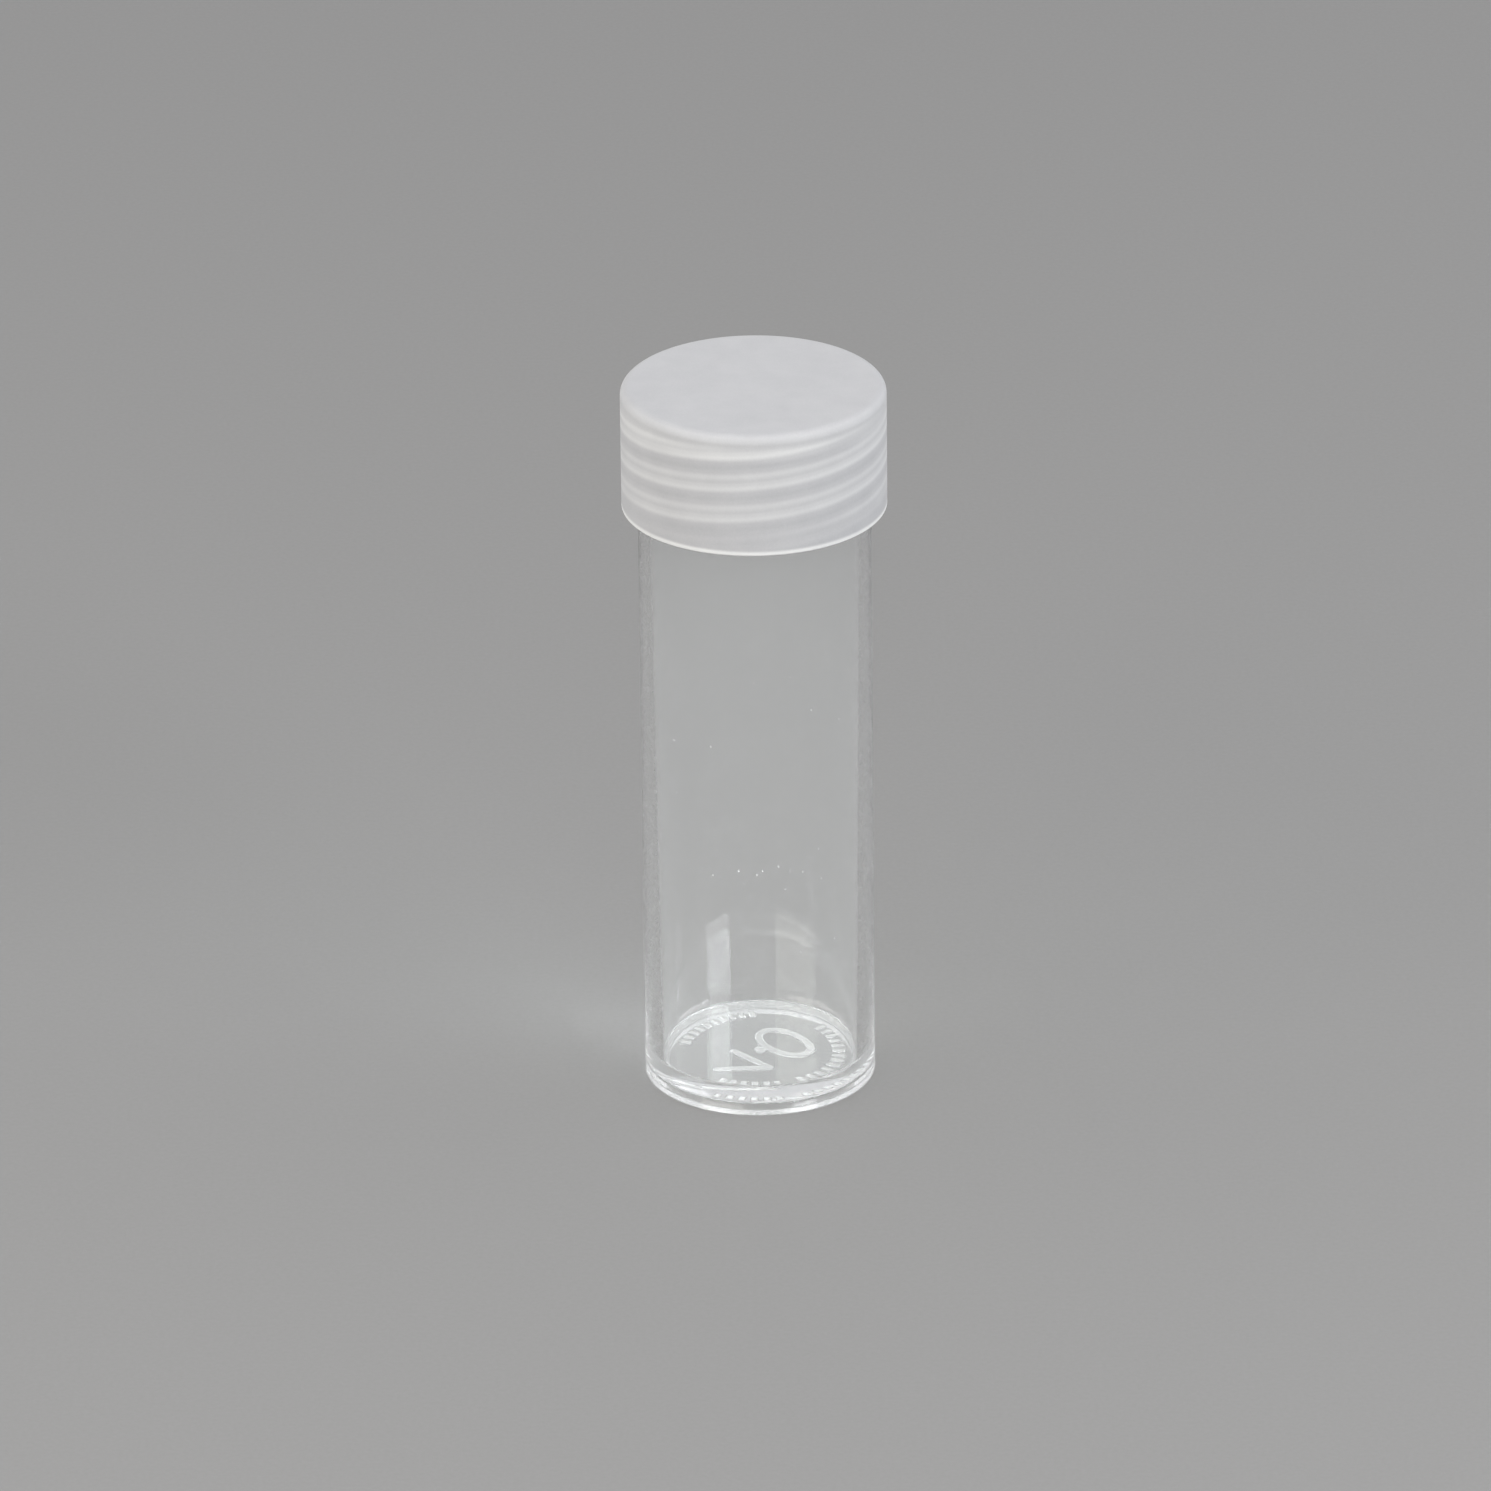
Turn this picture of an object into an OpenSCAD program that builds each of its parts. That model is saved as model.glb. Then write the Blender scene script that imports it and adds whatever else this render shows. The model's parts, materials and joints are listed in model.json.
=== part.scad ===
// Flat-bottomed specimen tube with a screw cap.
// Millimetres, +Z up the tube's axis, origin at the centre of the foot that it stands on.

/* [Tube] */
// Outside diameter of the tube
tube_d = 28; // [24:0.5:36]
// Height of the tube from its foot to its rim
tube_h = 88; // [60:1:120]
// Thickness of the side wall at the rim
wall = 1.25; // [1:0.05:1.5]
// How much thicker the wall is at the floor, because the bore tapers
wall_draft = 0.85; // [0:0.05:1]
// Height of the inside floor above the table
floor_z = 3.2; // [2.8:0.1:5]
// Depth of the recess under the floor
recess_depth = 1; // [0.8:0.1:1.5]
// Width of the ring that the tube stands on
foot_w = 2.5; // [2:0.1:3]

/* [Screw thread] */
// Rise of the cap in one full turn
lead = 8; // [7:0.5:12]
// Number of separate thread ridges, evenly spaced round the neck
starts = 2; // [1:1:2]
// Height of a ridge above the neck, and of its partner inside the cap
ridge_h = 0.55; // [0.4:0.05:0.6]

/* [Cap] */
// Height of the cap
cap_h = 15.4; // [14.4:0.2:17]
// Thickness of the cap's side
cap_wall = 1.1; // [1:0.1:1.6]
// Thickness of the cap's top
cap_top = 1.3; // [1.2:0.1:2]
// Radius of the rounded edge of the top
cap_edge = 1.15; // [0.6:0.05:1.6]

/* [Sealing disc] */
// Thickness of the disc between the rim and the cap's top
liner_t = 0.9; // [0.6:0.1:1.5]

/* [Moulded marks] */
// Height of the marks under the floor
mark_h = 0.25; // [0.15:0.05:0.4]

/* [Hidden] */
$fn = 96;

touch = 0.02;                 // gap left between two pieces that rest on each other
overlap = 0.1;                // how far a raised feature runs into what it stands on
side_gap = 0.25;              // gap between a ridge's crest and the wall that it runs along
flank_gap = 0.12;             // gap between the two threads' pressed flanks

tube_r = tube_d / 2;
bore_r = tube_r - wall;       // at the rim
bore_low_r = bore_r - wall_draft;
foot_r = tube_r - foot_w;     // inside radius of the foot ring
foot_round = 0.15;            // rounding of the foot's outer edge
foot_lip = 0.1;               // rounding of the foot's inner edge
recess_round = 0.3;           // fillet where the recess meets the floor
floor_round = 0.4;            // fillet between the inside floor and the wall
rim_round = 0.3;              // rounding of the rim's two edges

seal_z = tube_h + touch;                  // underside of the sealing disc on the rim
seat_z = seal_z + liner_t + touch;        // underside of the cap's top
cap_z = seat_z + cap_top - cap_h;         // lowest edge of the cap
cap_in_r = tube_r + ridge_h + side_gap;   // inside radius of the cap's skirt
cap_r = cap_in_r + cap_wall;
cap_lead_in = 0.4;                        // bevel inside the cap's lower edge
cap_foot_round = 0.2;                     // rounding outside the cap's lower edge
neck_r = tube_r - 0.1;                    // the neck is drawn in a little under the cap
neck_z = cap_z - 0.8;                     // where the tube's full width ends
neck_taper = 0.6;                         // height over which the wall draws in
liner_r = tube_r + 0.1;
liner_step = 0.08;                        // how far the disc's middle sinks into the bore
liner_bevel = 0.1;                        // bevel on the disc's edges

// A thread ridge's widths at its root and crest
neck_root_w = 1.4;
neck_crest_w = 0.7;
cap_root_w = 2.4;
cap_crest_w = 1.5;
ridge_embed = 0.15;           // how far a ridge's root runs into its wall
ridge_steps = 60;             // stations in one turn of a ridge
ridge_fade = 24;              // degrees over which a ridge's end fades into its wall

// The cap's ridge crosses the -Y side this far under the cap's seat
cap_ridge_z = seat_z - 4.75;
// The neck's ridge lies above the cap's ridge, one loaded flank from it
neck_ridge_z = cap_ridge_z + (ridge_half(neck_root_w, neck_crest_w, side_gap)
             + ridge_half(cap_root_w, cap_crest_w, 0)) + flank_gap;
// Heights of the ridge's middle at its two ends
cap_ridge_low = cap_z + 1.8;
cap_ridge_high = seat_z - 0.3;
neck_ridge_low = cap_z + 2.6;
neck_ridge_high = tube_h - 1.3;

// Layout of the marks, seen from above
tick_in_r = foot_r - 2.6;
tick_out_r = foot_r - 1.1;
tick_w = 0.6;
tick_step = 8;
tick_arcs = [[-60, 36], [-118, -78], [96, 168]];
stroke_w = 0.9;
oval_at = [3, 1.8];
oval_size = [4, 2.4];
oval_tilt = 130;
chevron_tip = [1.1, -5];
chevron_ends = [[-3.2, -0.5], [-5.1, -5.3]];
gate_r = 0.7;
gate_h = 0.35;

// Half the width of a ridge at a depth below its crest
function ridge_half(root_w, crest_w, depth) =
    (crest_w + (root_w - crest_w) * depth / ridge_h) / 2;

// Points of an arc about c, from angle a to angle b
function arc(c, r, a, b, n = 5) =
    [for (i = [0:n]) c + r * [cos(a + (b - a) * i / n), sin(a + (b - a) * i / n)]];

// Points of an oval with half-axes size, turned by tilt and moved to c
function oval(c, size, tilt, n = 40) =
    [for (i = [0:n - 1]) let (x = size[0] * cos(360 * i / n), y = size[1] * sin(360 * i / n))
        c + [x * cos(tilt) - y * sin(tilt), x * sin(tilt) + y * cos(tilt)]];

// One helical ridge from z_low to z_high, crossing the -Y side at z_side, then turned.
// It is r_in to r_out deep, w_in and w_out wide there, and each end fades into its wall:
// fade_in and fade_out are how far the inner and outer radius move at the very end.
module ridge(z_low, z_high, z_side, turned, r_in, r_out, w_in, w_out, fade_in, fade_out) {
    n = ceil(ridge_steps * (z_high - z_low) / lead);
    sweep = 360 * (z_high - z_low) / lead;
    points = [for (i = [0:n])
        let (t = i / n,
             z = z_low + (z_high - z_low) * t,
             a = 270 + turned + 360 * (z - z_side) / lead,
             k = min(1, min(t, 1 - t) * sweep / ridge_fade),
             ri = r_in + fade_in * (1 - k),
             ro = r_out - fade_out * (1 - k))
        each [[ri * cos(a), ri * sin(a), z - w_in / 2],
              [ro * cos(a), ro * sin(a), z - w_out / 2],
              [ro * cos(a), ro * sin(a), z + w_out / 2],
              [ri * cos(a), ri * sin(a), z + w_in / 2]]];
    sides = [for (i = [0:n - 1], j = [0:3])
        let (p = 4 * i + j, q = 4 * i + (j + 1) % 4)
        each [[p, q, q + 4], [p, q + 4, p + 4]]];
    ends = [[3, 2, 1, 0], [4 * n, 4 * n + 1, 4 * n + 2, 4 * n + 3]];
    polyhedron(points, concat(sides, ends));
}

// Ridges on the outside of the neck
module neck_thread() {
    root_r = neck_r - ridge_embed;
    crest_r = tube_r + ridge_h;
    root_w = 2 * ridge_half(neck_root_w, neck_crest_w, crest_r - root_r);
    for (s = [0:starts - 1])
        ridge(neck_ridge_low, neck_ridge_high, neck_ridge_z, 360 * s / starts,
              root_r, crest_r, root_w, neck_crest_w,
              0, crest_r - neck_r + ridge_embed / 2);
}

// Ridges on the inside of the cap's skirt
module cap_thread() {
    root_r = cap_in_r + ridge_embed;
    crest_r = cap_in_r - ridge_h;
    root_w = 2 * ridge_half(cap_root_w, cap_crest_w, root_r - crest_r);
    for (s = [0:starts - 1])
        ridge(cap_ridge_low, cap_ridge_high, cap_ridge_z, 360 * s / starts,
              crest_r, root_r, cap_crest_w, root_w,
              ridge_h + ridge_embed / 2, 0);
}

// A round-ended bar between two points on the underside of the floor
module stroke(a, b) {
    d = b - a;
    translate([a[0], a[1], recess_depth - mark_h])
        rotate(atan2(d[1], d[0])) {
            translate([0, -stroke_w / 2, 0]) cube([norm(d), stroke_w, mark_h + overlap]);
            cylinder(h = mark_h + overlap, d = stroke_w, $fn = 24);
            translate([norm(d), 0, 0]) cylinder(h = mark_h + overlap, d = stroke_w, $fn = 24);
        }
}

// An oval, a chevron and a ring of ticks, raised on the underside, and the moulding gate
module base_marks() {
    band = [stroke_w / 2, stroke_w / 2];
    translate([0, 0, recess_depth - mark_h])
        linear_extrude(mark_h + overlap) difference() {
            polygon(oval(oval_at, oval_size + band, oval_tilt));
            polygon(oval(oval_at, oval_size - band, oval_tilt));
        }
    for (end = chevron_ends) stroke(end, chevron_tip);
    for (span = tick_arcs, a = [span[0]:tick_step:span[1]])
        rotate(a) translate([tick_in_r, -tick_w / 2, recess_depth - mark_h])
            cube([tick_out_r - tick_in_r, tick_w, mark_h + overlap]);
    translate([0, 0, recess_depth - gate_h]) cylinder(h = gate_h + overlap, r = gate_r);
}

// Clear tube: wall, floor and foot ring are one revolved profile
module tube() {
    profile = concat(
        [[0, recess_depth]],
        arc([foot_r - recess_round, recess_depth - recess_round], recess_round, 90, 0),
        arc([foot_r + foot_lip, foot_lip], foot_lip, 180, 270),
        arc([tube_r - foot_round, foot_round], foot_round, 270, 360),
        [[tube_r, neck_z], [neck_r, neck_z + neck_taper]],
        arc([neck_r - rim_round, tube_h - rim_round], rim_round, 0, 90),
        arc([bore_r + rim_round, tube_h - rim_round], rim_round, 90, 180),
        arc([bore_low_r - floor_round, floor_z + floor_round], floor_round, 0, -90),
        [[0, floor_z]]);
    color([0.80, 0.86, 0.88, 0.45]) union() {
        rotate_extrude() polygon(profile);
        neck_thread();
        base_marks();
    }
}

// Soft disc that the cap presses onto the rim
module cap_liner() {
    top_z = seat_z - touch;
    profile = [[0, seal_z - liner_step],
               [bore_r - liner_bevel - touch, seal_z - liner_step],
               [bore_r - touch, seal_z],
               [liner_r, seal_z],
               [liner_r, top_z - liner_bevel],
               [liner_r - liner_bevel, top_z],
               [0, top_z]];
    color("white") rotate_extrude() polygon(profile);
}

// Translucent cap with a plain skirt, a rounded top edge and its thread inside
module screw_cap() {
    top_z = seat_z + cap_top;
    profile = concat(
        [[0, seat_z], [cap_in_r, seat_z],
         [cap_in_r, cap_z + cap_lead_in], [cap_in_r + cap_lead_in, cap_z]],
        arc([cap_r - cap_foot_round, cap_z + cap_foot_round], cap_foot_round, 270, 360),
        arc([cap_r - cap_edge, top_z - cap_edge], cap_edge, 0, 90, 8),
        [[0, top_z]]);
    color([0.88, 0.90, 0.90, 0.85]) union() {
        rotate_extrude() polygon(profile);
        cap_thread();
    }
}

tube();
cap_liner();
screw_cap();
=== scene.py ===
"""Looks of a clear specimen tube with a translucent screw cap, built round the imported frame.

Lengths are in millimetres, and MM turns them into Blender's metres. Angles are in degrees. Those
on the pieces are seen from above and run from +X, so that FRONT is the camera's side.
"""

import json
import math

import bpy
import numpy as np
from mathutils import Matrix, Vector


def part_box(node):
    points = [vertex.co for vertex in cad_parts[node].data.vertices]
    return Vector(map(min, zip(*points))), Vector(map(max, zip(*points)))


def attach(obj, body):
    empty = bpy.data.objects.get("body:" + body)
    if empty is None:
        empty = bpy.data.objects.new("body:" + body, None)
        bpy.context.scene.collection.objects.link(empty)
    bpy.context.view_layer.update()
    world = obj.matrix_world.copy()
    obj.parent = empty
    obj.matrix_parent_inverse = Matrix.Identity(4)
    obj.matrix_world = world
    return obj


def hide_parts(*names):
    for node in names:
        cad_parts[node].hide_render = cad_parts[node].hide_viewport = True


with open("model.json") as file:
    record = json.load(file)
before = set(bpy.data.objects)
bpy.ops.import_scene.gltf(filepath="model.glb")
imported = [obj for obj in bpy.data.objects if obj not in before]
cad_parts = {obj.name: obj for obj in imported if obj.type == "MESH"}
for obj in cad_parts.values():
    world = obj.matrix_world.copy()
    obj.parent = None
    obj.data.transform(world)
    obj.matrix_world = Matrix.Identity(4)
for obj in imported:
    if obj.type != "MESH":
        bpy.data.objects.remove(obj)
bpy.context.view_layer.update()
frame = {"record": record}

MM = 0.001
FRONT = 270                    # angle of the side that faces the camera
SEGMENTS = 432                 # points round each ring
MARK_STEP = 0.15               # from ring to ring where the marks stand out
NECK_STEP, CAP_STEP = 0.12, 0.14    # and where the two threads do
EDGE_HOLD, LINER_HOLD = 0.08, 0.03  # from a flat's edge to the ring that keeps its shading flat
NEAR = 0.01                    # rings are picked by their place to within this


# ---------------------------------------------------------------- sizes

def box_mm(node):
    """Lowest and highest corner of a CAD node, in millimetres."""
    low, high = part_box(node)
    return low / MM, high / MM


def mount(name):
    """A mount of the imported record, by name."""
    return next(m for m in frame["record"]["mounts"] if m["name"] == name)


# Tube
tube_r = mount("rack_barrel")["dims"]["r_mm"]
tube_h = box_mm("tube")[1].z
wall, wall_draft = 1.25, 0.85  # at the rim, and how much more at the floor
foot_w = 2.5                   # width of the ring that the tube stands on
bore_r = tube_r - wall         # at the rim
bore_low_r = bore_r - wall_draft
foot_in_r = tube_r - foot_w
floor_z = 3.2                  # inside floor
recess_z = 1.0                 # ceiling of the recess under the floor
foot_round, foot_lip, recess_round = 0.15, 0.1, 0.3
floor_round, rim_round = 0.4, 0.3

# Cap, and the neck under it
cap_low, cap_high = box_mm("screw_cap")
cap_r, cap_z, cap_top_z = cap_high.x, cap_low.z, cap_high.z
cap_wall, cap_top = 1.1, 1.3   # thickness of the side and of the top
cap_in_r = cap_r - cap_wall
seat_z = cap_top_z - cap_top
cap_edge, cap_foot_round, seat_round = 1.15, 0.2, 0.25
cap_lead_in = 0.4              # bevel inside the lower edge
neck_r = tube_r - 0.1          # the neck is drawn in a little under the cap
neck_z = cap_z - 0.8           # where the tube's full width ends
neck_taper = 0.6               # height over which the wall draws in

# Sealing disc
liner_low, liner_high = box_mm("cap_liner")
liner_r = liner_high.x
liner_step, liner_bevel = 0.08, 0.1
liner_gap = 0.02               # between the disc's step and the bore

# Screw thread, shared by the neck and the cap
lead, starts = 8.0, 2
pitch = lead / starts
ridge_h = 0.55
cap_ridge_drop = 4.75          # from the cap's seat down to a cap ridge, on the camera's side
ridge_offset = 1.385           # from a cap ridge up to the neck ridge that it bears on
cap_ridge_z = seat_z - cap_ridge_drop
neck_ridge_z = cap_ridge_z + ridge_offset
# front_z is a ridge's height on the camera's side, low and high are its ends, and root and
# crest are its widths
CAP_RIDGE = dict(front_z=cap_ridge_z, low=cap_z + 1.8, high=seat_z - 0.3, root=2.4, crest=1.5)
NECK_RIDGE = dict(front_z=neck_ridge_z, low=cap_z + 2.6, high=tube_h - 1.3, root=1.4, crest=0.7)
RIDGE_FADE = 24                # degrees over which a ridge's end fades into its wall


# ---------------------------------------------------------------- outlines

def arc(centre, radius, start, end, steps=8):
    """Stations (r, z) of an arc about centre, between two angles: 0 is outwards and 90 is up."""
    angles = np.radians(np.linspace(start, end, steps + 1))
    return [(centre[0] + radius * math.cos(a), centre[1] + radius * math.sin(a)) for a in angles]


def stretch(a, b, step):
    """Evenly spaced stations strictly between a and b."""
    count = max(1, round(math.dist(a, b) / step))
    return [(a[0] + (b[0] - a[0]) * i / count, a[1] + (b[1] - a[1]) * i / count)
            for i in range(1, count)]


def held(stations, margin=EDGE_HOLD):
    """Adds a station close to each end of every step longer than four margins, so that rounded
    edges don't shade the flats beside them."""
    out = [stations[0]]
    for a, b in zip(stations, stations[1:]):
        length = math.dist(a, b)
        if length > 4 * margin:
            for share in (margin / length, 1 - margin / length):
                out.append((a[0] + (b[0] - a[0]) * share, a[1] + (b[1] - a[1]) * share))
        out.append(b)
    return out


# ---------------------------------------------------------------- relief

def smooth(x):
    """Smooth step from 0 to 1."""
    x = np.clip(x, 0, 1)
    return x * x * (3 - 2 * x)


def ridge_height(z, angle, front_z, low, high, root, crest):
    """How far the thread's ridges stand out of their wall at each height and angle."""
    turned = front_z + lead * (angle - FRONT) / 360
    middle = turned + pitch * np.round((z - turned) / pitch)
    from_end = np.minimum(middle - low, high - middle) * 360 / lead
    fade = smooth(from_end / RIDGE_FADE)
    flank = (root - crest) / 2
    return ridge_h * fade * smooth((root / 2 - np.abs(z - middle)) / flank)


# Marks under the floor, seen from above: an oval, a chevron, arcs of ticks and the gate
MARK_H = 0.25                  # height of a mark
MARK_EDGE = 0.12               # width of a mark's drafted side
STROKE_W = 0.9                 # width of the oval's and the chevron's lines
TICK_W, TICK_IN_R, TICK_OUT_R = 0.6, foot_in_r - 2.6, foot_in_r - 1.1
TICK_STEP = 8                  # degrees from one tick to the next
TICK_ARCS = [(-60, 36), (-118, -78), (96, 168)]
OVAL_AT, OVAL_SIZE, OVAL_TILT = (3.0, 1.8), (4.0, 2.4), 130
CHEVRON_TIP, CHEVRON_ENDS = (1.1, -5.0), [(-3.2, -0.5), (-5.1, -5.3)]
GATE_R, GATE_H = 0.7, 0.35
TINY = 1e-9                    # keeps a divisor away from zero


def raised(outside, height=MARK_H):
    """Height of a raised mark, from each point's distance outside its edge."""
    return height * smooth(0.5 - outside / MARK_EDGE)


def mark_height(x, y):
    """Height of the moulded marks at each point of the recess's ceiling."""
    heights = [raised(np.hypot(x, y) - GATE_R, GATE_H)]
    tip = np.array(CHEVRON_TIP)
    for end in CHEVRON_ENDS:
        arm = np.array(end) - tip
        along = np.clip(((x - tip[0]) * arm[0] + (y - tip[1]) * arm[1]) / (arm @ arm), 0, 1)
        off = np.hypot(x - tip[0] - along * arm[0], y - tip[1] - along * arm[1])
        heights.append(raised(off - STROKE_W / 2))
    dx, dy = x - OVAL_AT[0], y - OVAL_AT[1]
    tilt = math.radians(OVAL_TILT)
    u = (dx * math.cos(tilt) + dy * math.sin(tilt)) / OVAL_SIZE[0]
    v = (dy * math.cos(tilt) - dx * math.sin(tilt)) / OVAL_SIZE[1]
    size = np.hypot(u, v) + TINY
    slope = np.hypot(u / OVAL_SIZE[0], v / OVAL_SIZE[1]) / size
    heights.append(raised(np.abs(size - 1) / slope - STROKE_W / 2))
    r, angle = np.hypot(x, y), np.degrees(np.arctan2(y, x))
    for first, last in TICK_ARCS:
        nearest = first + TICK_STEP * np.round((np.clip(angle, first, last) - first) / TICK_STEP)
        nearest = np.minimum(nearest, last)
        across = np.abs(np.radians(angle - nearest)) * r - TICK_W / 2
        beyond = np.maximum(TICK_IN_R - r, r - TICK_OUT_R)
        heights.append(raised(np.maximum(across, beyond)))
    return np.max(heights, axis=0)


# ---------------------------------------------------------------- meshes

def revolve(name, stations, body, replaced, material, moved=None):
    """A closed mesh turned from stations (r, z), which start on the axis, run out along the
    underside and up the outside, and come back to the axis. moved takes r, z and angle for each
    point, and returns r and z. Each pole is as high as the ring next to it."""
    angles = np.arange(SEGMENTS) * 360 / SEGMENTS
    inner = np.array(stations[1:-1])
    r = np.repeat(inner[:, :1], SEGMENTS, axis=1)
    z = np.repeat(inner[:, 1:], SEGMENTS, axis=1)
    angle = np.broadcast_to(angles, r.shape)
    if moved:
        r, z = moved(r, z, angle)
    turn = np.radians(angle)
    rings = np.stack([r * np.cos(turn), r * np.sin(turn), z], axis=-1).reshape(-1, 3)
    poles = np.zeros((2, 3))
    poles[:, 2] = [z[0].mean(), z[-1].mean()]
    verts = np.vstack([rings, poles]) * MM

    count = len(inner)
    j = np.arange(SEGMENTS)
    k = (j + 1) % SEGMENTS
    row = np.arange(count - 1)[:, None] * SEGMENTS
    quads = np.stack([row + j, row + k, row + k + SEGMENTS, row + j + SEGMENTS], axis=-1)
    last = (count - 1) * SEGMENTS
    start, end = count * SEGMENTS, count * SEGMENTS + 1
    faces = quads.reshape(-1, 4).tolist()
    faces += [[start, b, a] for a, b in zip(j.tolist(), k.tolist())]
    faces += [[end, last + a, last + b] for a, b in zip(j.tolist(), k.tolist())]

    mesh = bpy.data.meshes.new(name)
    mesh.from_pydata(verts.tolist(), [], faces)
    mesh.polygons.foreach_set("use_smooth", [True] * len(mesh.polygons))
    mesh.materials.append(material)
    mesh.update()
    piece = bpy.data.objects.new(name, mesh)
    bpy.context.scene.collection.objects.link(piece)
    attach(piece, body)
    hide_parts(replaced)
    return piece


def tube_outline():
    """Underside and its recess, foot ring, wall, neck, rim, bore and inside floor."""
    recess_edge = (foot_in_r - recess_round, recess_z)
    ceiling = [(0, recess_z)] + stretch((0, recess_z), recess_edge, MARK_STEP)
    foot = (arc((foot_in_r - recess_round, recess_z - recess_round), recess_round, 90, 0)
            + arc((foot_in_r + foot_lip, foot_lip), foot_lip, 180, 270)
            + arc((tube_r - foot_round, foot_round), foot_round, 270, 360))
    ridge_reach = NECK_RIDGE["root"] / 2
    thread_low = (neck_r, NECK_RIDGE["low"] - ridge_reach)
    thread_top = (neck_r, NECK_RIDGE["high"] + ridge_reach)
    rest = (held([foot[-1], (tube_r, neck_z)])[1:] + [(neck_r, neck_z + neck_taper), thread_low]
            + stretch(thread_low, thread_top, NECK_STEP) + [thread_top]
            + arc((neck_r - rim_round, tube_h - rim_round), rim_round, 0, 90)
            + arc((bore_r + rim_round, tube_h - rim_round), rim_round, 90, 180))
    inside = arc((bore_low_r - floor_round, floor_z + floor_round), floor_round, 0, -90)
    inside = held([rest[-1], inside[0]])[1:-1] + inside
    inside = inside + held([inside[-1], (0, floor_z)])[1:]
    return ceiling + held(foot) + rest + inside


def tube_relief(r, z, angle):
    """The neck's thread, and the marks under the floor."""
    under = (np.abs(z - recess_z) < NEAR) & (r <= foot_in_r)
    turn = np.radians(angle)
    marks = mark_height(r * np.cos(turn), r * np.sin(turn))
    on_neck = (np.abs(r - neck_r) < NEAR) & (z > neck_z)
    thread = ridge_height(z, angle, **NECK_RIDGE)
    return r + np.where(on_neck, thread, 0), z - np.where(under, marks, 0)


def cap_outline():
    """Top's underside, thread wall, lower edge, skirt, rounded edge and top."""
    wall_top = (cap_in_r, seat_z - seat_round)
    wall_low = (cap_in_r, cap_z + cap_lead_in)
    lip = (cap_in_r + cap_lead_in, cap_z)
    under = held([(0, seat_z), (cap_in_r - seat_round, seat_z)])
    corner = arc((cap_in_r - seat_round, seat_z - seat_round), seat_round, 90, 0)
    thread = stretch(wall_top, wall_low, CAP_STEP) + [wall_low]
    edge = held([wall_low, lip])[1:] + held([lip, (cap_r - cap_foot_round, cap_z)])[1:-1]
    foot = arc((cap_r - cap_foot_round, cap_z + cap_foot_round), cap_foot_round, 270, 360)
    top = arc((cap_r - cap_edge, cap_top_z - cap_edge), cap_edge, 0, 90, 16)
    skirt = held([foot[-1], top[0]])[1:-1]
    return under + corner + thread + edge + foot + skirt + top + held([top[-1], (0, cap_top_z)])[1:]


def cap_relief(r, z, angle):
    """The thread inside the skirt."""
    inside = (np.abs(r - cap_in_r) < NEAR) & (z < seat_z - seat_round) & (z > cap_z + cap_lead_in)
    return r - np.where(inside, ridge_height(z, angle, **CAP_RIDGE), 0), z


def liner_outline():
    """Disc with a shallow step that sits in the bore."""
    low, step_z, top = liner_low.z, liner_low.z + liner_step, liner_high.z
    inner_r = bore_r - liner_gap
    return held([(0, low), (inner_r - liner_bevel, low), (inner_r, step_z), (liner_r, step_z),
                 (liner_r, top - liner_bevel), (liner_r - liner_bevel, top), (0, top)], LINER_HOLD)


# ---------------------------------------------------------------- materials

# Clear plastic. Stops map the level of a noise to a share from 0 to 1.
DUST_SPACING = 1.8             # between places where a speck of dust may lie
DUST_EMPTY = 0.72              # share of those places that stay empty
DUST_R = 0.1176                # radius of the largest speck
SKIN_SHIFT = 3.0               # slides the pattern inside the tube off the one outside it
LINT_STOPS = [(0.0, 1.0), (0.005, 0.0)]     # a thin line where a noise crosses its middle
LINT_PATCHES = [(0.57, 0.0), (0.61, 1.0)]   # where there is any lint
MARK_RISE = 0.06               # what stands out of the recess by more than this is frosted
MARK_RIM = 0.1                 # up to this far outside the ticks
SCUFF_Z = 0.03                 # the foot is scuffed up to here
SCUFF_STOPS = [(0.35, 0.12), (0.70, 0.32)]  # share of the light that the scuffed foot scatters
HAZE_STOPS = [(0.30, 0.009), (0.75, 0.020)]         # that the clean surface does
DUST_DULL, LINT_DULL, MARK_DULL = 0.55, 0.25, 0.3   # and that these do
HAIR_STOPS = [(0.68, 0.0), (0.76, 1.0)]     # where there are hairline scratches
HAIR_ROUGH, DULL_ROUGH = 0.03, 0.4          # roughness that a hairline and a dull place add
POLISH = 0.012                 # to the roughness of the clean surface

# Milky plastic. Painted light and shade of the thread as it shows through the cap, over one pitch
# from the middle of a ridge up to the next: two painted light lines and a painted dark gap
THREAD_SHADE_STOPS = [(0.0, 0.68), (0.10, 0.40), (0.26, 0.78), (0.42, 0.2), (0.56, 0.0), (0.71, 0.15),
              (0.88, 1.0), (1.0, 0.68)]
# From the cap's lower edge to its top: how much of the painted thread shading shows, and the
# painted level added to it: a highlight line along the lower edge, a light band below the rounded
# top edge and a plainer top
THREAD_SHADE_SHOWN = [(0.0, 0.0), (0.05, 0.09), (0.15, 0.12), (0.25, 0.37), (0.78, 0.44), (0.86, 0.42),
              (0.92, 0.0)]
PAINTED_LIGHT_BY_HEIGHT = [(0.0, 1.0), (0.022, 0.9), (0.05, 0.14), (0.76, 0.13), (0.83, 0.29), (0.90, 0.30),
               (0.975, 0.27), (1.0, 0.13)]
MOTTLE = 0.16                  # how much the level varies from place to place
MOTTLE_SCALES = [(0.35, 3.0), (5.0, 2.0)]     # (scale, detail) of broad clouds and fine grain
SATIN, SATIN_SPREAD = 0.55, 0.12              # least roughness, and how much more it may be


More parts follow.
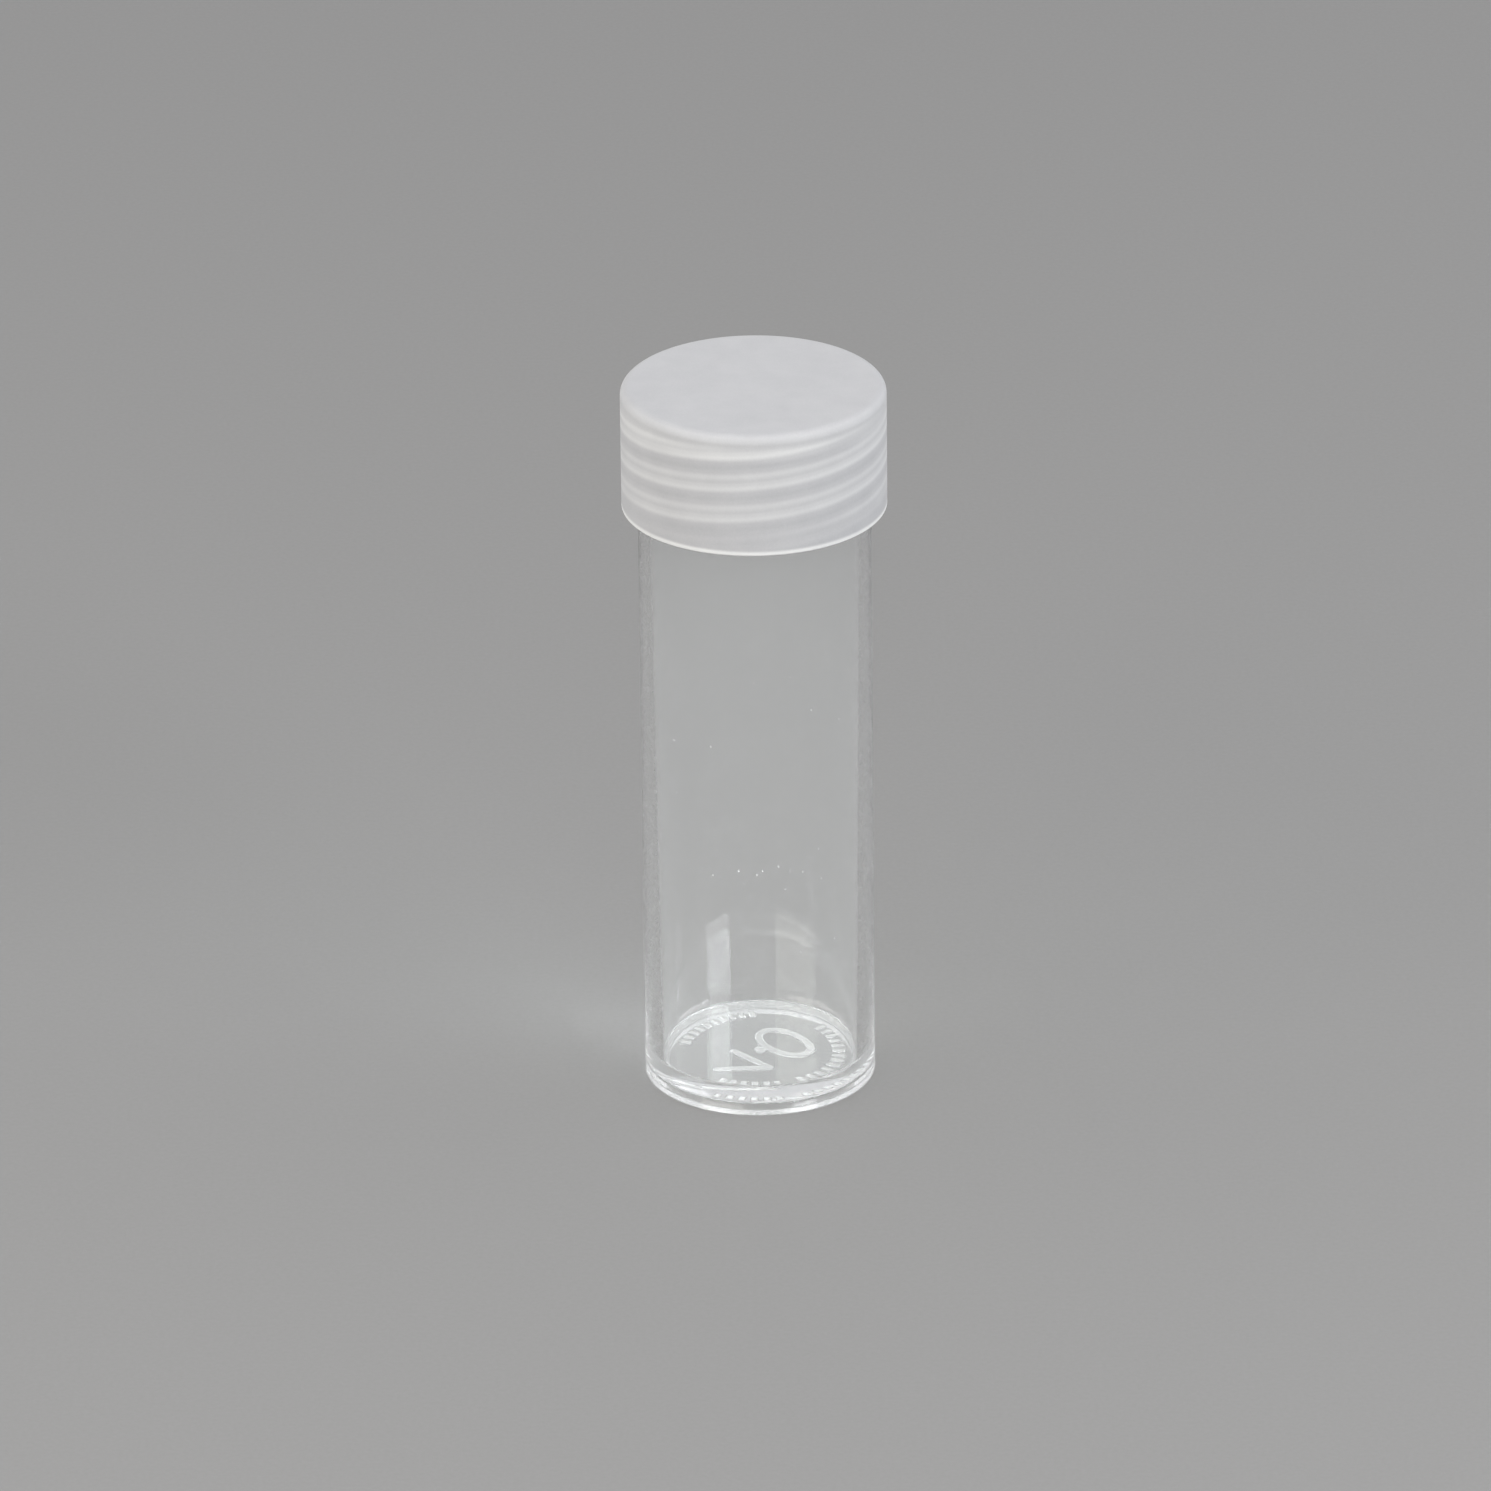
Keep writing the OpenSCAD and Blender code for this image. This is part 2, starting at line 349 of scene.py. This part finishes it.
class Nodes:
    """A new material's node tree, with short ways to add nodes and links."""

    def __init__(self, name):
        self.material = bpy.data.materials.new(name)
        self.material.use_nodes = True
        self.tree = self.material.node_tree
        self.shader = self.tree.nodes["Principled BSDF"]
        self.output = self.tree.nodes["Material Output"]

    def add(self, kind, inputs=None, **settings):
        node = self.tree.nodes.new(kind)
        for key, value in settings.items():
            setattr(node, key, value)
        for key, value in (inputs or {}).items():
            self.put(node.inputs[key], value)
        return node

    def put(self, socket, value):
        """Links an output, or sets a plain value."""
        if isinstance(value, bpy.types.NodeSocket):
            self.tree.links.new(value, socket)
        else:
            socket.default_value = value

    def math(self, operation, a, b=0.0, clamp=False):
        inputs = {0: a, 1: b}
        return self.add("ShaderNodeMath", inputs, operation=operation, use_clamp=clamp).outputs[0]

    def place(self, scale=(1, 1, 1)):
        """Object coordinates in millimetres, scaled along each axis."""
        at = self.add("ShaderNodeTexCoord").outputs["Object"]
        return self.scaled(at, [s / MM for s in scale])

    def unrolled(self, radius):
        """Place on an unrolled cylinder, in millimetres: round it, up it, nothing."""
        x, y, z = self.add("ShaderNodeSeparateXYZ", {0: self.place()}).outputs
        round_it = self.math("MULTIPLY", self.math("ARCTAN2", y, x), radius)
        return self.add("ShaderNodeCombineXYZ", {0: round_it, 1: z}).outputs[0]

    def scaled(self, vector, scale):
        return self.add("ShaderNodeMapping", {"Vector": vector, "Scale": scale}).outputs[0]

    def noise(self, scale, detail=2.0, roughness=0.5, along=(1, 1, 1)):
        """Noise of scale cells in a millimetre, or scale times along on each axis."""
        return self.add("ShaderNodeTexNoise", {"Vector": self.place(along), "Scale": scale,
                                               "Detail": detail, "Roughness": roughness}).outputs[0]

    def ramp(self, value, stops):
        """Maps value through (position, level) stops, smoothly."""
        node = self.add("ShaderNodeValToRGB", {0: value})
        node.color_ramp.interpolation = "EASE"
        points = node.color_ramp.elements
        while len(points) < len(stops):
            points.new(0.5)
        for point, (position, level) in zip(points, stops):
            point.position = position
            point.color = (level, level, level, 1)
        return node.outputs[0]

    def bump(self, height, distance, strength):
        node = self.add("ShaderNodeBump", {"Height": height, "Distance": distance * MM,
                                           "Strength": strength})
        self.put(self.shader.inputs["Normal"], node.outputs[0])

    def colour_between(self, level, low, high):
        """Base colour that goes from low to high as level goes from 0 to 1."""
        mix = self.add("ShaderNodeMix", {0: level, 6: (*low, 1), 7: (*high, 1)}, data_type="RGBA")
        self.put(self.shader.inputs["Base Color"], mix.outputs[2])


def dust_and_lint(n, around):
    """Round specks and thin curled fibres, as the share of light that they scatter."""
    cells = n.add("ShaderNodeTexVoronoi", {"Vector": around, "Scale": 1 / DUST_SPACING})
    chance = n.add("ShaderNodeSeparateColor", {0: cells.outputs["Color"]}).outputs[0]
    growth = DUST_R / (1 - DUST_EMPTY) / DUST_SPACING
    size = n.math("MULTIPLY", n.math("SUBTRACT", chance, DUST_EMPTY), growth)
    dust = n.math("GREATER_THAN", size, cells.outputs["Distance"])
    curls = n.add("ShaderNodeTexNoise", {"Vector": n.scaled(around, (1.4, 0.5, 1)), "Scale": 1.0,
                                         "Detail": 3.0, "Distortion": 1.5}).outputs[0]
    fibres = n.ramp(n.math("ABSOLUTE", n.math("SUBTRACT", curls, 0.5)), LINT_STOPS)
    patches = n.ramp(n.noise(scale=0.7, detail=1.0), LINT_PATCHES)
    lint = n.math("MULTIPLY", fibres, patches)
    return n.math("ADD", n.math("MULTIPLY", dust, DUST_DULL), n.math("MULTIPLY", lint, LINT_DULL))


def foot_scuffs(n, z):
    """Wear where the foot stands on the table, as the share of light that it scatters."""
    wear = n.ramp(n.noise(scale=1.5, detail=4.0, roughness=0.7), SCUFF_STOPS)
    return n.math("MULTIPLY", n.math("LESS_THAN", z, SCUFF_Z), wear)


def frosted_marks(n, z, off_axis):
    """The raised marks under the floor, as the share of light that they scatter."""
    stands_out = n.math("LESS_THAN", z, recess_z - MARK_RISE)
    in_recess = n.math("LESS_THAN", off_axis, TICK_OUT_R + MARK_RIM)
    return n.math("MULTIPLY", n.math("MULTIPLY", stands_out, in_recess), MARK_DULL)


def clear_plastic():
    """Polished clear polystyrene with a slight haze, dust, lint, hairline scratches, a scuffed
    foot and frosted marks. Lamps shine straight through it."""
    n = Nodes("clear_polystyrene")
    shader = n.shader.inputs
    shader["Base Color"].default_value = (0.995, 1.0, 1.0, 1)
    shader["IOR"].default_value = 1.59
    shader["Sheen Weight"].default_value = 0.08
    shader["Sheen Roughness"].default_value = 0.5
    x, y, z = n.add("ShaderNodeSeparateXYZ", {0: n.place()}).outputs
    off_axis = n.math("POWER", n.math("ADD", n.math("POWER", x, 2.0), n.math("POWER", y, 2.0)), 0.5)
    shift = n.add("ShaderNodeCombineXYZ", {0: n.math("MULTIPLY", off_axis, SKIN_SHIFT)}).outputs[0]
    around = n.add("ShaderNodeVectorMath", {0: n.unrolled(tube_r), 1: shift}, operation="ADD")
    around = around.outputs[0]

    dull = n.math("ADD", dust_and_lint(n, around), foot_scuffs(n, z))
    dull = n.math("ADD", dull, frosted_marks(n, z, off_axis), clamp=True)
    haze = n.ramp(n.noise(scale=3.0, detail=3.0), HAZE_STOPS)
    n.put(shader["Transmission Weight"], n.math("SUBTRACT", n.math("SUBTRACT", 1.0, dull), haze))

    hairs = n.add("ShaderNodeTexNoise", {"Vector": n.scaled(around, (2.2, 0.3, 1)), "Scale": 1.0,
                                         "Detail": 4.0, "Roughness": 0.7}).outputs[0]
    scratches = n.math("MULTIPLY", n.ramp(hairs, HAIR_STOPS), HAIR_ROUGH)
    frost = n.math("MULTIPLY", dull, DULL_ROUGH)
    n.put(shader["Roughness"], n.math("ADD", n.math("ADD", scratches, frost), POLISH))
    n.bump(n.noise(scale=0.15, detail=1.0, along=(1, 1, 0.3)), distance=0.001, strength=0.3)

    clear = n.add("ShaderNodeBsdfTransparent", {"Color": (0.93, 0.94, 0.94, 1)}).outputs[0]
    lamp = n.add("ShaderNodeLightPath").outputs["Is Shadow Ray"]
    mix = n.add("ShaderNodeMixShader", {0: lamp, 1: n.shader.outputs[0], 2: clear})
    n.put(n.output.inputs["Surface"], mix.outputs[0])
    depth = n.add("ShaderNodeVolumeAbsorption", {"Color": (0.50, 0.53, 0.53, 1), "Density": 4.0})
    n.put(n.output.inputs["Volume"], depth.outputs[0])
    return n.material


def painted_thread_shade(n, x, y, z):
    """The level of the painted light and dark bands where the thread shows through, at each height
    and angle of the cap.
    """
    turns = n.math("DIVIDE", n.math("ARCTAN2", y, x), 2 * math.pi)
    from_front = n.math("ADD", turns, 1 - FRONT / 360)
    climb = n.math("DIVIDE", n.math("SUBTRACT", z, cap_ridge_z), pitch)
    above_ridge = n.math("SUBTRACT", climb, n.math("MULTIPLY", from_front, starts))
    return n.ramp(n.math("FRACT", above_ridge), THREAD_SHADE_STOPS)


def milky_plastic():
    """Natural polyethylene that light scatters through, with painted light and shade: the thread
    inside is painted on as bands, and the edges carry painted highlights.
    """
    n = Nodes("natural_polyethylene")
    shader = n.shader.inputs
    x, y, z = n.add("ShaderNodeSeparateXYZ", {0: n.place()}).outputs
    up_cap = n.math("DIVIDE", n.math("SUBTRACT", z, cap_z), cap_top_z - cap_z)
    # painted light and shade: the thread's bands as light would show them through the wall
    painted_shade = n.math("MULTIPLY", painted_thread_shade(n, x, y, z), n.ramp(up_cap, THREAD_SHADE_SHOWN))
    # painted highlights by height: a bright line along the lower edge and a light band below the
    # top edge
    level = n.math("ADD", painted_shade, n.ramp(up_cap, PAINTED_LIGHT_BY_HEIGHT))
    for scale, detail in MOTTLE_SCALES:
        cloud = n.math("SUBTRACT", n.noise(scale, detail), 0.5)
        level = n.math("ADD", level, n.math("MULTIPLY", cloud, MOTTLE))
    n.colour_between(level, (0.39, 0.389, 0.402), (0.73, 0.73, 0.722))
    shader["Subsurface Weight"].default_value = 0.5
    shader["Subsurface Radius"].default_value = (1.0, 1.0, 1.0)
    shader["Subsurface Scale"].default_value = 0.5 * MM
    shader["IOR"].default_value = 1.51
    shader["Specular IOR Level"].default_value = 0.2
    shader["Sheen Weight"].default_value = 0.15
    shader["Sheen Roughness"].default_value = 0.35
    satin = n.math("MULTIPLY", n.noise(scale=0.6, detail=3.0), SATIN_SPREAD)
    n.put(shader["Roughness"], n.math("ADD", satin, SATIN))
    n.bump(n.noise(scale=2.5, detail=3.0), distance=0.012, strength=0.5)
    return n.material


def foam():
    """Closed-cell foam."""
    n = Nodes("white_foam")
    shader = n.shader.inputs
    cells = n.add("ShaderNodeTexVoronoi", {"Vector": n.place(), "Scale": 4.0}).outputs["Distance"]
    n.colour_between(cells, (0.72, 0.72, 0.70), (0.86, 0.86, 0.84))
    shader["Roughness"].default_value = 0.8
    n.bump(cells, distance=0.05, strength=0.6)
    return n.material


def paper():
    """Plain pale paper."""
    n = Nodes("pale_paper")
    shader = n.shader.inputs
    grain = n.noise(scale=1.6, detail=4.0, roughness=0.7)
    n.colour_between(grain, (0.239, 0.236, 0.233), (0.275, 0.272, 0.269))
    shader["Roughness"].default_value = 0.9
    shader["Specular IOR Level"].default_value = 0.2
    return n.material


# ---------------------------------------------------------------- stage

FLOOR_HALF = 6000              # half the floor's width
FLOOR_DROP = 0.05              # gap between the floor and the foot
LIGHT_BOUNCES = 48             # enough for light that runs round inside the foot
STUDIO_LOW = (0.40, 0.40, 0.41)        # the studio at the horizon and below it
STUDIO_HIGH = (0.95, 0.96, 0.98)       # and straight overhead
SIDE_GLOW, SIDE_FALLOFF = 1.0, 4.0     # extra brightness of the two sides, and how fast it fades
TARGET = Vector((0, 0, 45 * MM))       # the lamps face this point, and the camera nearly does
CAMERA_DISTANCE = 1533
CAMERA_ELEVATION = 24.655
CAMERA_TURN = (0.0518, -0.0712)        # aim to the left of and below the target
CAMERA_ROLL = -0.62
CAMERA_LENS, SENSOR_W = 306.98, 36
CLIP_NEAR, CLIP_FAR = 10, 50000


def direction(azimuth, elevation):
    """Unit vector towards a place round the object. Azimuth 0 is the camera's side, 90 is +X."""
    a, e = math.radians(azimuth), math.radians(elevation)
    return Vector((math.sin(a) * math.cos(e), -math.cos(a) * math.cos(e), math.sin(e)))


def make_floor():
    half = FLOOR_HALF * MM
    mesh = bpy.data.meshes.new("floor")
    mesh.from_pydata([(-half, -half, 0), (half, -half, 0), (half, half, 0), (-half, half, 0)],
                     [], [(0, 1, 2, 3)])
    mesh.materials.append(paper())
    floor = bpy.data.objects.new("floor", mesh)
    floor.location.z = -FLOOR_DROP * MM
    bpy.context.scene.collection.objects.link(floor)


def make_softbox(name, azimuth, elevation, distance, width, height, power, colour):
    """A rectangular lamp that faces the tube and that the camera doesn't see."""
    light = bpy.data.lights.new(name, "AREA")
    light.shape, light.size, light.size_y = "RECTANGLE", width * MM, height * MM
    light.energy, light.color = power, colour
    lamp = bpy.data.objects.new(name, light)
    towards = direction(azimuth, elevation)
    lamp.location = towards * distance * MM + TARGET
    lamp.rotation_euler = towards.to_track_quat("Z", "Y").to_euler()
    lamp.visible_camera = False
    bpy.context.scene.collection.objects.link(lamp)


def make_world():
    """A dim studio that brightens towards its ceiling and its two sides."""
    world = bpy.data.worlds.new("studio")
    world.use_nodes = True
    tree = world.node_tree
    background = tree.nodes["Background"]
    towards = tree.nodes.new("ShaderNodeSeparateXYZ")
    at = tree.nodes.new("ShaderNodeTexCoord")
    tree.links.new(at.outputs["Generated"], towards.inputs[0])

    ramp = tree.nodes.new("ShaderNodeValToRGB")
    low, high = ramp.color_ramp.elements
    low.color, high.color = (*STUDIO_LOW, 1), (*STUDIO_HIGH, 1)
    tree.links.new(towards.outputs["Z"], ramp.inputs[0])
    tree.links.new(ramp.outputs[0], background.inputs["Color"])

    sides = tree.nodes.new("ShaderNodeMath")
    sides.operation = "POWER"
    sides.inputs[1].default_value = SIDE_FALLOFF
    tree.links.new(towards.outputs["X"], sides.inputs[0])
    glow = tree.nodes.new("ShaderNodeMath")
    glow.operation = "MULTIPLY_ADD"
    glow.inputs[1].default_value = SIDE_GLOW
    glow.inputs[2].default_value = 1.0
    tree.links.new(sides.outputs[0], glow.inputs[0])
    tree.links.new(glow.outputs[0], background.inputs["Strength"])
    bpy.context.scene.world = world


def make_lights():
    make_softbox("right_softbox", azimuth=51, elevation=26, distance=1200, width=576, height=500,
                 power=8.5, colour=(0.95, 0.975, 1.0))
    make_softbox("left_softbox", azimuth=-45, elevation=26, distance=1200, width=1020, height=800,
                 power=9.5, colour=(1.0, 0.97, 0.91))


def make_camera():
    data = bpy.data.cameras.new("camera")
    data.lens, data.sensor_width = CAMERA_LENS, SENSOR_W
    data.clip_start, data.clip_end = CLIP_NEAR * MM, CLIP_FAR * MM
    camera = bpy.data.objects.new("camera", data)
    back = direction(0, CAMERA_ELEVATION)
    camera.location = back * CAMERA_DISTANCE * MM + TARGET
    aim = back.to_track_quat("Z", "Y").to_matrix()
    yaw, tilt, roll = (math.radians(a) for a in (*CAMERA_TURN, CAMERA_ROLL))
    turn = (Matrix.Rotation(yaw, 3, "Y") @ Matrix.Rotation(tilt, 3, "X")
            @ Matrix.Rotation(roll, 3, "Z"))
    camera.rotation_euler = (aim @ turn).to_euler()
    bpy.context.scene.collection.objects.link(camera)
    bpy.context.scene.camera = camera


# ---------------------------------------------------------------- the scene

revolve("tube_visual", tube_outline(), "tube", "tube", clear_plastic(), tube_relief)
revolve("screw_cap_visual", cap_outline(), "cap", "screw_cap", milky_plastic(), cap_relief)
revolve("cap_liner_visual", liner_outline(), "liner", "cap_liner", foam())
make_floor()
make_world()
make_lights()
make_camera()
bpy.context.scene.view_settings.view_transform = "Standard"
for kind in ("max_bounces", "glossy_bounces", "transmission_bounces"):
    setattr(bpy.context.scene.cycles, kind, LIGHT_BOUNCES)
